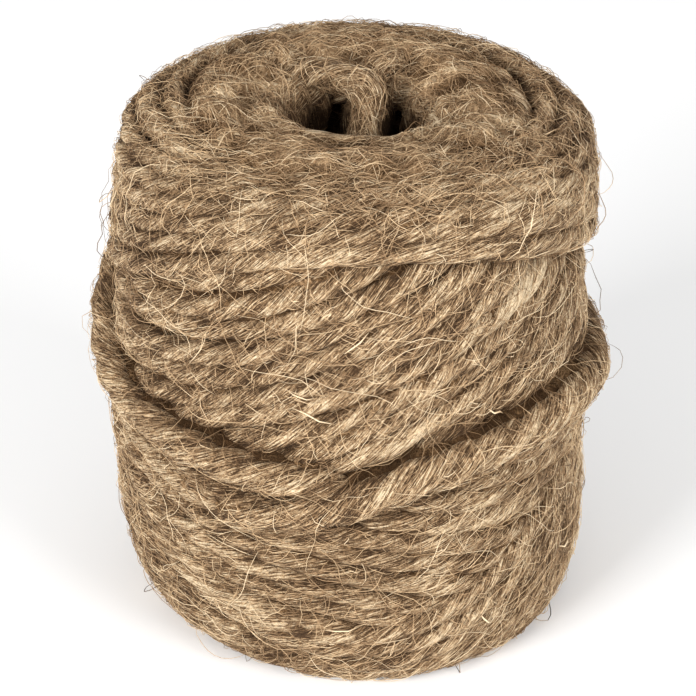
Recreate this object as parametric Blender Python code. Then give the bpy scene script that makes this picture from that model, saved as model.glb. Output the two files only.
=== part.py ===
"""A spool of jute twine, wound on a mandrel that has been drawn out.

The spool is one solid. Its outline is a profile turned about the spool's axis.
The rows of its mesh follow the turns of twine, a crest and a valley for each,
so the windings stand as ridges: a lower set that sags towards the front, an
under layer set back above it, and a top band that runs over the shoulder. One
thick turn lies proud round the waist, and one strand crosses the hole's mouth.

Units are metres and +Z is up. The front is towards -Y, and an azimuth is
counted in degrees from the front, positive towards +X.
"""
import math

import bmesh
import bpy
from mathutils import Vector

MM = 0.001

# Driving dimensions of the wound form
BODY_RADIUS = 40.0 * MM
HEIGHT = 90.0 * MM
TOP_SHOULDER_ACROSS = 14.0 * MM
TOP_SHOULDER_DOWN = 8.0 * MM
BASE_SHOULDER_ACROSS = 8.0 * MM
BASE_SHOULDER_UP = 19.0 * MM
HOLE_RADIUS = 10.7 * MM
MOUTH_ACROSS = 4.3 * MM
MOUTH_DOWN = 6.0 * MM
MOUTH_SWELL = 2.2 * MM
TOP_DISH = 0.7 * MM
AXIS_X = 0.75 * MM

# The twine
VALLEY_SHARE_OF_PITCH = 0.38
UNDER_LAYER_SET_BACK = 2.2 * MM
UNDER_LAYER_SLANT = 0.15
LOOSE_WIDTH = 5.8 * MM
LOOSE_PROUD_MEAN = 3.05 * MM
LOOSE_PROUD_LEFT = 0.75 * MM
LOOSE_CREVICE = 1.2 * MM
ARCH_RADIUS = 2.9 * MM

# Unevenness of the wound form
LUMP = 0.3 * MM
LUMP_LENGTH = 20.0 * MM
LUMP_EASE = 6.0 * MM
BASE_LEAN = 2.2 * MM
BASE_LEAN_TOP = 35.0 * MM

# Mesh
COLUMNS = 64
ARCH_SIDES = 10
ARCH_RINGS = 22
PROFILE_STEPS = 24
LOOSE_ROWS = 7
MOUTH_ROWS = 4
WALL_ROWS = 6

# Curves that part the sets of turns, as heights round the spool.
# height at the front, azimuth of the front, depth, weights of cos 1x, 2x, 3x
LOWER_MIDDLE = (0.220, 20.0, 0.040, (1.0, 0.0, 0.0))
LOOSE_TURN = (0.455, -12.0, 0.065, (1.0, 0.35, 0.10))
BAND_EDGE = (0.880, 8.0, -0.070, (1.0, 0.50, 0.0))

# Turns of twine in each set
TURNS_BELOW_LOWER_MIDDLE = 7
TURNS_ABOVE_LOWER_MIDDLE = 5
TURNS_UNDER_LAYER = 8
TURNS_TOP_BAND = 9

# Lumps where a turn is tucked in or folded: x, y, z, reach, height, in mm
BUMPS = (
    (-24.1, -31.9, 34.2, 3.4, 1.6),
    (2.3, 12.8, 89.5, 3.2, 2.0),
    (-12.6, 5.9, 89.5, 5.0, 1.3),
    (17.0, -9.0, 90.0, 6.0, 0.9),
    (-6.0, -18.0, 90.0, 7.0, 0.8),
)

# The strand across the mouth, from the back left to the front wall: x, y, z, in mm
ARCH_ROUTE = (
    (-16.0, 13.0, 83.5),
    (-12.0, 12.6, 87.2),
    (-6.4, 11.4, 89.4),
    (-1.6, 8.8, 90.0),
    (1.6, 5.4, 89.2),
    (2.0, 1.8, 86.6),
    (1.2, -1.8, 82.2),
    (0.6, -5.6, 76.4),
    (0.4, -10.0, 70.0),
    (0.4, -13.6, 66.0),
)

JUTE_COLOUR = (0.352, 0.223, 0.122, 1.0)
JUTE_ROUGHNESS = 0.95


def clear_scene():
    for item in list(bpy.data.objects):
        bpy.data.objects.remove(item, do_unlink=True)


def jute_material():
    material = bpy.data.materials.new("jute")
    material.use_nodes = True
    shader = material.node_tree.nodes["Principled BSDF"]
    shader.inputs["Base Color"].default_value = JUTE_COLOUR
    shader.inputs["Roughness"].default_value = JUTE_ROUGHNESS
    shader.inputs["Metallic"].default_value = 0.0
    return material


def elliptic_arc(centre, radii, start, end, steps):
    """Points of a quarter ellipse in the (radius, height) plane, angles in degrees."""
    points = []
    for step in range(steps + 1):
        angle = math.radians(start + (end - start) * step / steps)
        points.append((centre[0] + radii[0] * math.cos(angle), centre[1] + radii[1] * math.sin(angle)))
    return points


def outer_profile():
    """The outside from the base's outer edge, up the side and over to the mouth."""
    base_centre = (BODY_RADIUS - BASE_SHOULDER_ACROSS, BASE_SHOULDER_UP)
    top_centre = (BODY_RADIUS - TOP_SHOULDER_ACROSS, HEIGHT - TOP_SHOULDER_DOWN)
    points = elliptic_arc(base_centre, (BASE_SHOULDER_ACROSS, BASE_SHOULDER_UP), -90, 0, PROFILE_STEPS)
    points += elliptic_arc(top_centre, (TOP_SHOULDER_ACROSS, TOP_SHOULDER_DOWN), 0, 90, PROFILE_STEPS)
    points.append((HOLE_RADIUS + MOUTH_ACROSS, HEIGHT - TOP_DISH))
    return points


class Path:
    """A line of (radius, height) points that is read by the length along it."""

    def __init__(self, points):
        self.points = points
        self.lengths = [0.0]
        for a, b in zip(points, points[1:]):
            self.lengths.append(self.lengths[-1] + math.dist(a, b))
        self.total = self.lengths[-1]

    def segment(self, length):
        length = min(max(length, 0.0), self.total)
        index = 0
        while index < len(self.points) - 2 and self.lengths[index + 1] < length:
            index += 1
        span = self.lengths[index + 1] - self.lengths[index]
        return index, (length - self.lengths[index]) / span

    def point(self, length):
        index, part = self.segment(length)
        a, b = self.points[index], self.points[index + 1]
        return a[0] + (b[0] - a[0]) * part, a[1] + (b[1] - a[1]) * part

    def normal(self, length, reach=1.5 * MM):
        """Unit normal on the outer side, eased over a short stretch."""
        low, high = self.point(length - reach), self.point(length + reach)
        along = (high[0] - low[0], high[1] - low[1])
        size = math.hypot(*along)
        return along[1] / size, -along[0] / size

    def at_height(self, height):
        """Length at which the side reaches a height."""
        for index in range(len(self.points) - 1):
            low, high = self.points[index][1], self.points[index + 1][1]
            if low <= height <= high and high > low:
                part = (height - low) / (high - low)
                return self.lengths[index] + part * (self.lengths[index + 1] - self.lengths[index])
        return self.total


def curve_height(curve, azimuth):
    """Height round the spool of one of the curves that part the sets of turns."""
    front, front_azimuth, depth, weights = curve
    height = front
    for order, weight in enumerate(weights, start=1):
        height += depth * weight * (1.0 - math.cos(order * math.radians(azimuth - front_azimuth)))
    return height * HEIGHT


def lump(azimuth, length):
    """Slow unevenness of the wound form."""
    angle = math.radians(azimuth)
    turns = length / LUMP_LENGTH
    wave = math.sin(3 * angle + 1.3 * turns) + 0.7 * math.sin(5 * angle - 2.1 * turns + 0.8)
    return LUMP * (wave + 0.8 * math.sin(2 * angle + 3.3 * turns + 2.0))


def base_lean(azimuth, height):
    """How far the foot of the spool draws in on its left side."""
    leftward = max(0.0, -math.sin(math.radians(azimuth)))
    fade = max(0.0, 1.0 - height / BASE_LEAN_TOP)
    return BASE_LEAN * leftward * fade


def bump(place):
    """Rise of the surface at a place, from the tucked and folded turns near it."""
    height = 0.0
    for x, y, z, reach, rise in BUMPS:
        distance = math.dist(place, (x * MM, y * MM, z * MM))
        height += rise * MM * math.exp(-((distance / (reach * MM)) ** 2))
    return height


def direction(azimuth):
    """Level unit direction out from the axis."""
    angle = math.radians(azimuth)
    return math.sin(angle), -math.cos(angle)


def outside_point(path, azimuth, length, relief):
    """A point of the outside at a length along the profile, raised by relief."""
    radius, height = path.point(length)
    across, up = path.normal(length)
    ease = min(1.0, height / LUMP_EASE, (path.total - length) / LUMP_EASE)
    out_x, out_y = direction(azimuth)
    rise = relief + ease * lump(azimuth, length) + bump((radius * out_x, radius * out_y, height))
    radius += across * rise - base_lean(azimuth, height)
    height += up * rise
    return Vector((AXIS_X + radius * out_x, radius * out_y, max(height, 0.0)))


def set_of_turns(low, high, turns, set_back, slant):
    """(length, relief, is a valley) of each row of one set of turns, a crest and a valley for each."""
    depth = VALLEY_SHARE_OF_PITCH * (high - low) / turns
    rows = []
    for index in range(2 * turns):
        share = (index + 1) / (2 * turns)
        share += 4.0 * slant * share * (1.0 - share)
        is_valley = index % 2 == 1
        rows.append((low + share * (high - low), -set_back - (depth if is_valley else 0.0), is_valley))
    return rows


def winding_column(path, azimuth):
    """(length, relief, is a valley) of each row of the windings at one azimuth, from the base up."""
    loose = path.at_height(curve_height(LOOSE_TURN, azimuth))
    half = LOOSE_WIDTH / 2
    edges = (
        0.0,
        path.at_height(curve_height(LOWER_MIDDLE, azimuth)),
        loose - half,
        loose + half,
        path.at_height(curve_height(BAND_EDGE, azimuth)),
        path.total,
    )
    sideways = math.sin(math.radians(azimuth))
    proud = LOOSE_PROUD_MEAN - LOOSE_PROUD_LEFT * sideways
    slant = UNDER_LAYER_SLANT * sideways
    column = set_of_turns(edges[0], edges[1], TURNS_BELOW_LOWER_MIDDLE, 0.0, 0.0)
    column += set_of_turns(edges[1], edges[2], TURNS_ABOVE_LOWER_MIDDLE, 0.0, 0.0)
    column[-1] = (edges[2], -LOOSE_CREVICE, True)
    for row in range(1, LOOSE_ROWS):
        angle = math.pi * row / LOOSE_ROWS
        column.append((loose - half * math.cos(angle), proud * math.sin(angle), False))
    column.append((edges[3], -UNDER_LAYER_SET_BACK - LOOSE_CREVICE, True))
    column += set_of_turns(edges[3], edges[4], TURNS_UNDER_LAYER, UNDER_LAYER_SET_BACK, slant)
    column += set_of_turns(edges[4], edges[5], TURNS_TOP_BAND, 0.0, 0.0)
    column[-1] = (edges[5], 0.0, False)
    return column


def mouth_arc(azimuth, centre):
    """The mouth's rounding below its outer edge, which swells out at the front of the spool."""
    swell = MOUTH_SWELL * max(0.0, math.cos(math.radians(azimuth))) ** 2
    points = []
    for row in range(1, MOUTH_ROWS + 1):
        angle = math.pi / 2 * row / MOUTH_ROWS
        more = swell * math.sin(2 * angle)
        across, down = MOUTH_ACROSS + more, MOUTH_DOWN + more
        points.append((centre[0] - across * math.sin(angle), centre[1] + down * math.cos(angle)))
    return points


def hole_profile(azimuth):
    """The hole from the mouth's outer edge, down the wall and out to the base's inner edge."""
    centre_radius = HOLE_RADIUS + MOUTH_ACROSS
    upper = (centre_radius, HEIGHT - TOP_DISH - MOUTH_DOWN)
    lower = (centre_radius, MOUTH_DOWN)
    points = mouth_arc(azimuth, upper)
    for row in range(1, WALL_ROWS):
        points.append((HOLE_RADIUS, upper[1] + (lower[1] - upper[1]) * row / WALL_ROWS))
    points += elliptic_arc(lower, (MOUTH_ACROSS, MOUTH_DOWN), 180, 270, MOUTH_ROWS)
    return points


def spool_columns():
    """Columns of points round the section, over the top and down the hole, and the valley rows."""
    path = Path(outer_profile())
    valleys = [row + 1 for row, place in enumerate(winding_column(path, 0.0)) if place[2]]
    columns = []
    for number in range(COLUMNS):
        azimuth = 360.0 * number / COLUMNS
        out_x, out_y = direction(azimuth)
        points = [outside_point(path, azimuth, 0.0, 0.0)]
        for length, relief, _ in winding_column(path, azimuth):
            points.append(outside_point(path, azimuth, length, relief))
        for radius, height in hole_profile(azimuth):
            points.append(Vector((AXIS_X + radius * out_x, radius * out_y, height)))
        columns.append(points)
    return columns, valleys


def mesh_from_columns(name, columns, sharp_rows):
    """One closed skin from columns of points that each run right round the section."""
    mesh = bmesh.new()
    grid = [[mesh.verts.new(point) for point in points] for points in columns]
    rows = len(columns[0])
    for number, points in enumerate(grid):
        following = grid[(number + 1) % len(grid)]
        for row in range(rows):
            above = (row + 1) % rows
            mesh.faces.new((points[row], following[row], following[above], points[above]))
        for row in sharp_rows:
            mesh.edges.get((points[row], following[row])).smooth = False
    return finished_mesh(name, mesh)


def finished_mesh(name, mesh):
    """Blender mesh of a bmesh, shaded smooth but for the edges marked sharp."""
    for face in mesh.faces:
        face.smooth = True
    data = bpy.data.meshes.new(name)
    mesh.to_mesh(data)
    mesh.free()
    return data


def smooth_route(route, count):
    """Points at even steps of a Catmull-Rom curve through the route's own points."""
    ends = [route[0] * 2 - route[1]] + list(route) + [route[-1] * 2 - route[-2]]
    points = []
    for step in range(count):
        place = step / (count - 1) * (len(route) - 1)
        index = min(int(place), len(route) - 2)
        t = place - index
        a, b, c, d = ends[index:index + 4]
        square = (2 * a - 5 * b + 4 * c - d) * t ** 2
        cube = (3 * b - a - 3 * c + d) * t ** 3
        points.append(0.5 * (2 * b + (c - a) * t + square + cube))
    return points


def strand_mesh(name, points, radius, sides):
    """A round strand with flat ends along a line of points."""
    mesh = bmesh.new()
    rings = []
    side = Vector((0.0, 0.0, 1.0))
    for index, point in enumerate(points):
        low, high = points[max(index - 1, 0)], points[min(index + 1, len(points) - 1)]
        along = (high - low).normalized()
        side = (side - along * side.dot(along)).normalized()
        across = along.cross(side)
        ring = []
        for number in range(sides):
            angle = 2 * math.pi * number / sides
            out = math.cos(angle) * side + math.sin(angle) * across
            ring.append(mesh.verts.new(point + radius * out))
        rings.append(ring)
    for ring, following in zip(rings, rings[1:]):
        for number in range(sides):
            after = (number + 1) % sides
            mesh.faces.new((ring[number], ring[after], following[after], following[number]))
    mesh.faces.new(list(reversed(rings[0])))
    mesh.faces.new(rings[-1])
    bmesh.ops.recalc_face_normals(mesh, faces=mesh.faces)
    return finished_mesh(name, mesh)


def add_object(name, data, material):
    item = bpy.data.objects.new(name, data)
    data.materials.append(material)
    bpy.context.scene.collection.objects.link(item)
    return item


def make_mouth_strand(material):
    """Guide for the strand that crosses the hole's mouth, joined to the spool below."""
    route = [Vector((AXIS_X + x * MM, y * MM, z * MM)) for x, y, z in ARCH_ROUTE]
    data = strand_mesh("mouth_strand_guide", smooth_route(route, ARCH_RINGS), ARCH_RADIUS, ARCH_SIDES)
    guide = add_object("mouth_strand_guide", data, material)
    guide.hide_render = True
    guide.display_type = "WIRE"
    return guide


def make_wound_twine(material):
    columns, valleys = spool_columns()
    spool = add_object("wound_twine", mesh_from_columns("wound_twine", columns, valleys), material)
    union = spool.modifiers.new("mouth_strand", "BOOLEAN")
    union.operation = "UNION"
    union.solver = "EXACT"
    union.object = make_mouth_strand(material)
    return spool


def main():
    clear_scene()
    make_wound_twine(jute_material())


main()
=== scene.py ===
"""Looks of a spool of jute twine, wound on the place of its CAD solid.

The spool's section is one line, from the middle of the hole, under the base, up
the side, over the top and back down the hole. A place on the skin is an azimuth
(degrees from the front, positive to the right), the length along that line from
the edge of the base's flat, and a height above the line. The strands are laid on
a height map of the skin in the order in which they were wound, so that each lies
on those before it, and the loose fibres are laid on the same map last.

Lengths are in millimetres until a mesh is made.
"""
import math

import bpy
import numpy as np
from mathutils import Euler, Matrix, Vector


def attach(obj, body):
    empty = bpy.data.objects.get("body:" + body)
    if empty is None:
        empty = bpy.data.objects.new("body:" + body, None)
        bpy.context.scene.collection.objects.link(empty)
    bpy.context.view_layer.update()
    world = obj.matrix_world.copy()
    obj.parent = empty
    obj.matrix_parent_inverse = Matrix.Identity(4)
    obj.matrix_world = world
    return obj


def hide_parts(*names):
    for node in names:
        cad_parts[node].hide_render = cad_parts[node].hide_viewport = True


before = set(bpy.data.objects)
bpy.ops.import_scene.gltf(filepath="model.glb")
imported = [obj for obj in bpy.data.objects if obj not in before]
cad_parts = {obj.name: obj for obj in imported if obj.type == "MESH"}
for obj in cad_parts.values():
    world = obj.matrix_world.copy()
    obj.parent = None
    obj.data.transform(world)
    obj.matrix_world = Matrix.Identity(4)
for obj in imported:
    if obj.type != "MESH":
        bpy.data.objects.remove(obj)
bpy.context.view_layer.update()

MM = 0.001
SPOOL = "wound_twine"
SEED = 7

# The wound form, as the CAD solid has it. Rounded edges are given across and upward
BODY_RADIUS = 40.0
HEIGHT = 90.0
TOP_SHOULDER = (14.0, 8.0)
BASE_SHOULDER = (8.0, 19.0)
HOLE_RADIUS = 10.7
MOUTH = (4.3, 6.0)
TOP_DISH = 0.7
AXIS_X = 0.75
BASE_LEAN, BASE_LEAN_TOP = 2.2, 35.0
LUMP, LUMP_LENGTH, LUMP_EASE = 0.3, 20.0, 6.0
# Waves of the lumps: weight, waves round, change along the section, phase
LUMP_WAVES = ((1.0, 3, 1.3, 0.0), (0.7, 5, -2.1, 0.8), (0.8, 2, 3.3, 2.0))
# The top's right side lies lower than its left, from this height up
TOP_TILT, TOP_TILT_FROM = 0.6, 62.0

# The section line: steps of an edge, step and blur of its samples, the normal past which it is
# the hole's wall, and how far from the mouth the side ends
EDGE_STEPS, SECTION_STEP, NORMAL_BLUR = 24, 0.2, 7.0
WALL_NORMAL = -0.5
SIDE_END = 12.0

# Curves that part the sets of turns, as shares of the height round the spool:
# height at the front, azimuth of the front, depth, weights of cos 1x, 2x, 3x
BAND_EDGE = (0.880, 8.0, -0.085, (1.0, 0.55, 0.0))
FOOT_EDGE = (0.155, -3.0, 0.150, (1.0, 0.30, 0.08))

# The twine
TIGHT_RADIUS = 2.3
BAND_RADIUS = 2.05
WALL_RADIUS = 2.05
MOUTH_RING_RADIUS = 2.0
LOOSE_RADIUS = 3.05
ARCH_STRAND_RADIUS = 2.55
LAY, LOOSE_LAY = 27.0, 25.0
TIGHT_PLY_CENTRE, LOOSE_PLY_CENTRE = 0.23, 0.32
PLIES, POINTS_PER_PLY = 3, 5
RING_STEP = 1.3
FREE_RING_STEP = 0.8 * RING_STEP
POINTS_PER_TURN = 240
ROUTE_SAMPLES, LOOSE_SAMPLES = 200, 160

# Changes along a strand: their spread, and the length over which they come and go
WOBBLE_LENGTH = 22.0
RADIUS_CHANGE, RADIUS_LENGTH = 0.05, 16.0
FREE_RADIUS_CHANGE, FREE_RADIUS_LENGTH = 0.04, 10.0
TWIST_CHANGE, TWIST_LENGTH = 0.5, 30.0
RELIEF_CHANGE, RELIEF_LENGTH = 0.045, 9.0
TONE_CHANGE, TONE_LENGTH = 0.10, 14.0
# Its ends are thinner: share of the radius there, and the length over which it grows
END_SHARE, END_LENGTH = 0.25, 4.0

# Laying, in radii: where a strand feels for support across its width, its usual sink, and how
# much deeper it may go because it is stiff
SUPPORT_SHARES = (-0.35, 0.0, 0.35)
SINK, STIFF_SINK = 0.55, 0.45
# The length over which it bends, and a last blur in rings
STIFFNESS, LAST_BLUR = 4.0, 1.2
# How deep its ends dive, over what length, and how deep it passes under others
END_DIVE, END_DIVE_LENGTH, DIVE_DEPTH = 4.0, 11.0, 4.6

# The height map: cells, lowest height, smallest radius used to turn lengths into azimuths, and
# the steps in which a strand is printed on it
MAP_COLUMNS, MAP_CELL = 900, 0.3
BACKING = -5.6
LEAST_RADIUS = 6.0
PRINT_STEP = 0.8 * MAP_CELL
PRINT_SHARES = np.linspace(-0.95, 0.95, 17)

# The matted fibres, on the side and on the top: blur and reach over the strands, and depth
SIDE_MAT_BLUR, SIDE_MAT_DEPTH = 0.45, 0.74
TOP_MAT_BLUR, TOP_MAT_REACH, TOP_MAT_DEPTH = 1.2, 1.8, 0.15
# Where the top's begin along the section, and where they end past the mouth
TOP_MAT_FROM, TOP_MAT_OVER = 96.0, 7.0
MOUTH_MAT_TO, MOUTH_MAT_OVER = 5.0, 4.0
# Crevices beside the loose turn: distance from its middle, width, depth
CREVICE_AT, CREVICE_WIDTH, CREVICE_DEPTH = 4.0, 1.5, 1.8
MOUND_LENGTH, MOUND_ON_SIDE, MOUND_ON_TOP = 2.4, 0.25, 0.50
# The matted body's mesh: columns, even rows from one length to another past the mouth, rows in
# the hole's lower and upper half, roughness, and gap above the floor
MAT_COLUMNS, MAT_ROW = 330, 0.8
MAT_ROWS_FROM, MAT_ROWS_PAST_MOUTH = -18.0, 12.0
MAT_ROWS_IN_HOLE = (12, 14)
MAT_ROUGHNESS, MAT_FLOOR_GAP = 0.10, 0.2

# Blur and reach of the crests, the depth below them at which the painted shade of the gaps is
# darkest, and how much painted shade strands and fibres, mat and free strands get
CREST_BLUR, CREST_REACH = 1.1, 1.2
HOLLOW_DEPTH = 1.5
PAINTED_SHADE_STRENGTH, MAT_PAINTED_SHADE, FREE_STRAND_PAINTED_SHADE = 0.38, 0.78, 0.12
# Small pits painted in as dark shade, wider than high: azimuth, height share, radius
PITS = (
    (28.0, 0.245, 1.0), (-12.0, 0.130, 1.2), (-9.0, 0.465, 1.3), (-16.0, 0.520, 0.9),
    (52.0, 0.455, 1.4),
)
PIT_WIDTH, PIT_PAINTED_SHADE = 1.4, 2.0
# Painted shade down the hole: it starts this far past its lip and grows over this length
HOLE_SHADE_FROM, HOLE_SHADE_OVER, HOLE_PAINTED_SHADE = 2.0, 7.0, 1.5
# Blotches of lighter and darker fibres
BLOTCH_LENGTH, BLOTCH_SHARE = 2.6, 0.22

# A strand's mean tone, the cover of mat that hides its rings, the stretch of its pattern along
# the fibres, and the range in which the pattern starts
STRAND_TONE = 0.5
MAT_COVER = 0.1
PATTERN_STRETCH, PATTERN_STARTS = 0.09, 200


def smooth_noise(rng, count, length):
    """Values about zero with unit spread, a ring apart, that change over a length in mm."""
    knots = max(int(count * RING_STEP / length) + 3, 4)
    values = rng.normal(size=knots)
    place = np.linspace(0, knots - 1.001, count)
    index = place.astype(int)
    part = place - index
    part = part * part * (3 - 2 * part)
    return values[index] * (1 - part) + values[index + 1] * part


def quarter(centre, radii, start, end):
    """Points of a quarter of an ellipse, from one angle in degrees to another."""
    angles = np.radians(np.linspace(start, end, EDGE_STEPS + 1))
    return np.stack([centre[0] + radii[0] * np.cos(angles), centre[1] + radii[1] * np.sin(angles)], 1)


def blur(values, spread):
    """Gaussian blur along the first axis, spread in samples."""
    reach = max(int(3 * spread), 1)
    kernel = np.exp(-0.5 * (np.arange(-reach, reach + 1) / spread) ** 2)
    kernel /= kernel.sum()
    padded = np.concatenate([np.repeat(values[:1], reach, 0), values, np.repeat(values[-1:], reach, 0)])
    if values.ndim == 1:
        return np.convolve(padded, kernel, "valid")
    return np.stack([np.convolve(column, kernel, "valid") for column in padded.T], 1)


def hump(value, centre, width):
    """From 1 at the centre down to 0 away from it."""
    return np.exp(-((value - centre) / width) ** 2)


def step_up(value, early, width):
    """From 0 to 1 over a width, with soft ends, from a little before the value is zero."""
    part = np.clip((value + early) / width, 0, 1)
    return part * part * (3 - 2 * part)


def wrapped(az):
    """Azimuths from -180 to 180 degrees."""
    return np.mod(az + 180.0, 360.0) - 180.0


def unit(vectors):
    return vectors / np.maximum(np.linalg.norm(vectors, axis=-1, keepdims=True), 1e-9)


class Section:
    """The spool's section line, read by the length along it."""

    def __init__(self):
        lip = HOLE_RADIUS + MOUTH[0]
        mouth_top = HEIGHT - TOP_DISH - MOUTH[1]
        parts = (
            [(HOLE_RADIUS, HEIGHT / 2)],
            quarter((lip, MOUTH[1]), MOUTH, 180, 270),
            quarter((BODY_RADIUS - BASE_SHOULDER[0], BASE_SHOULDER[1]), BASE_SHOULDER, -90, 0),
            quarter((BODY_RADIUS - TOP_SHOULDER[0], HEIGHT - TOP_SHOULDER[1]), TOP_SHOULDER, 0, 90),
            quarter((lip, mouth_top), MOUTH, 90, 180),
            [(HOLE_RADIUS, HEIGHT / 2)],
        )
        line = np.concatenate(parts)
        along = np.concatenate([[0.0], np.cumsum(np.hypot(*np.diff(line, axis=0).T))])
        _, _, base_start, _, mouth_start, *_ = np.cumsum([0] + [len(part) for part in parts])
        along -= along[base_start]
        self.low, self.high = along[0], along[-1]
        self.top_inner = along[mouth_start]
        self.t = np.arange(self.low, self.high, SECTION_STEP)
        self.r = np.interp(self.t, along, line[:, 0])
        self.z = np.interp(self.t, along, line[:, 1])
        dr = blur(np.gradient(self.r), NORMAL_BLUR)
        dz = blur(np.gradient(self.z), NORMAL_BLUR)
        size = np.hypot(dr, dz)
        self.nr, self.nz = dz / size, -dr / size
        side = (self.t >= 0) & (self.t <= self.top_inner - SIDE_END)
        self.side_t, self.side_z = self.t[side], self.z[side]

    def read(self, t, *columns):
        return (np.interp(t, self.t, column) for column in columns)

    def radius(self, t):
        return np.interp(t, self.t, self.r)

    def normal(self, az, t):
        angle = np.radians(az)
        nr, nz = self.read(t, self.nr, self.nz)
        return np.stack([nr * np.sin(angle), -nr * np.cos(angle), nz], -1)

    def place(self, az, t, height):
        """Points in mm of places on the skin."""
        angle = np.radians(az)
        r, z, nr, nz = self.read(t, self.r, self.z, self.nr, self.nz)
        waves = sum(
            weight * np.sin(around * angle + change * t / LUMP_LENGTH + phase)
            for weight, around, change, phase in LUMP_WAVES
        )
        ease = np.clip(np.minimum(z, self.top_inner - t) / LUMP_EASE, 0, 1)
        height = height + LUMP * ease * waves
        leftward = np.clip(-np.sin(angle), 0, 1) * (nr > WALL_NORMAL)
        lean = BASE_LEAN * leftward * np.clip(1 - z / BASE_LEAN_TOP, 0, 1)
        near_top = np.clip((z - TOP_TILT_FROM) / (HEIGHT - TOP_TILT_FROM), 0, 1)
        r = r + nr * height - lean
        z = z + nz * height - TOP_TILT * np.sin(angle) * near_top
        return np.stack([AXIS_X + r * np.sin(angle), -r * np.cos(angle), z], -1)

    def at_height(self, z):
        """Length along the section at a height of the side."""
        return np.interp(z, self.side_z, self.side_t)


SKIN = Section()


def curve(shape, az):
    """Length along the section at which one of the parting curves crosses each azimuth."""
    front, front_az, depth, weights = shape
    share = np.full(np.shape(az), front)
    for order, weight in enumerate(weights, start=1):
        share = share + depth * weight * (1.0 - np.cos(order * np.radians(az - front_az)))
    return SKIN.at_height(share * HEIGHT)


class HeightMap:
    """How high the strands laid so far reach, over azimuth and length along the section."""

    def __init__(self):
        self.rows = int((SKIN.high - SKIN.low) / MAP_CELL) + 1
        self.cells = np.full((MAP_COLUMNS, self.rows), BACKING)

    def index(self, az, t):
        column = np.round(np.asarray(az) / 360.0 * MAP_COLUMNS).astype(int) % MAP_COLUMNS
        row = np.clip(np.round((np.asarray(t) - SKIN.low) / MAP_CELL).astype(int), 0, self.rows - 1)
        return column, row

    def read(self, az, t):
        return self.cells[self.index(az, t)]

    def raise_to(self, az, t, height):
        column, row = self.index(az, t)
        np.maximum.at(self.cells, (column.ravel(), row.ravel()), height.ravel())

    def softened(self, spread, reach=0.0):
        """The map blurred over a length in mm, after each cell takes the highest within a reach."""
        out = self.cells.copy()
        for shift in range(1, int(reach / MAP_CELL) + 1):
            up = np.pad(self.cells, ((0, 0), (shift, 0)), "edge")[:, :self.rows]
            down = np.pad(self.cells, ((0, 0), (0, shift)), "edge")[:, shift:]
            out = np.maximum(out, np.maximum(up, down))
        cells = spread / MAP_CELL
        wrap = int(4 * cells) + 2
        out = blur(np.concatenate([out[-wrap:], out, out[:wrap]]), cells)[wrap:-wrap]
        soft = HeightMap()
        soft.cells = blur(out.T.copy(), cells).T
        return soft


PILE = HeightMap()


def noise_map(seed, length):
    """Values about zero with unit spread over the whole skin, which change over a length in mm."""
    noise = HeightMap()
    noise.cells = np.random.default_rng(seed).normal(size=noise.cells.shape)
    noise = noise.softened(length)
    noise.cells /= noise.cells.std()
    return noise


BLOTCHES = noise_map(SEED + 6, BLOTCH_LENGTH)


def painted_shade_and_blotches(crests, az, t, height):
    """Painted shade: 0 on the crests, 1 in a deep gap, more in a pit and down the hole, and blotches of
    lighter and darker fibres on all.
    """
    out = np.clip((crests.read(az, t) - height) / HOLLOW_DEPTH, 0, 1)
    # Pits: painted shade, darker than a deep gap
    for pit_az, share, radius in PITS:
        aside = np.radians(wrapped(az - pit_az)) * BODY_RADIUS / PIT_WIDTH
        away = np.hypot(aside, t - SKIN.at_height(share * HEIGHT)) / radius
        out = np.maximum(out, PIT_PAINTED_SHADE * np.exp(-away ** 4))
    # Painted shade down the hole
    down_hole = np.clip((t - SKIN.top_inner - HOLE_SHADE_FROM) / HOLE_SHADE_OVER, 0, 1)
    return np.maximum(out, HOLE_PAINTED_SHADE * down_hole) + BLOTCH_SHARE * BLOTCHES.read(az, t)


def mat_map():
    """The height of the matted fibres between the strands, over the whole skin."""
    mat = HeightMap()
    az = np.arange(MAP_COLUMNS)[:, None] * 360.0 / MAP_COLUMNS
    t = SKIN.low + MAP_CELL * np.arange(mat.rows)[None, :]
    crevice = CREVICE_DEPTH * hump(np.abs(t - loose_line(az)), CREVICE_AT, CREVICE_WIDTH)
    mounds = noise_map(SEED + 4, MOUND_LENGTH).cells
    side = PILE.softened(SIDE_MAT_BLUR).cells - SIDE_MAT_DEPTH - crevice + MOUND_ON_SIDE * mounds
    top = PILE.softened(TOP_MAT_BLUR, TOP_MAT_REACH).cells - TOP_MAT_DEPTH + MOUND_ON_TOP * mounds
    on_top = np.clip((t - TOP_MAT_FROM) / TOP_MAT_OVER, 0, 1)
    on_top = on_top * np.clip((SKIN.top_inner + MOUTH_MAT_TO - t) / MOUTH_MAT_OVER, 0, 1)
    mat.cells = np.maximum(side * (1 - on_top) + top * on_top, BACKING)
    return mat


def crest_map(mat):
    """The height of the crests round each place, of strands and mat alike."""
    surface = HeightMap()
    surface.cells = np.maximum(PILE.cells, mat.cells)
    return surface.softened(CREST_BLUR, CREST_REACH)


def resample(az, t, step):
    """Even steps along a route on the skin: azimuths, lengths along the section and distances."""
    az, t = np.asarray(az, float), np.asarray(t, float)
    r = np.maximum(SKIN.radius((t[1:] + t[:-1]) / 2), LEAST_RADIUS)
    parts = np.hypot(np.radians(np.diff(az)) * r, np.diff(t))
    distance = np.concatenate([[0.0], np.cumsum(parts)])
    count = max(int(distance[-1] / step) + 1, 4)
    even = np.linspace(0, distance[-1], count)
    return np.interp(even, distance, az), np.interp(even, distance, t), even


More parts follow.
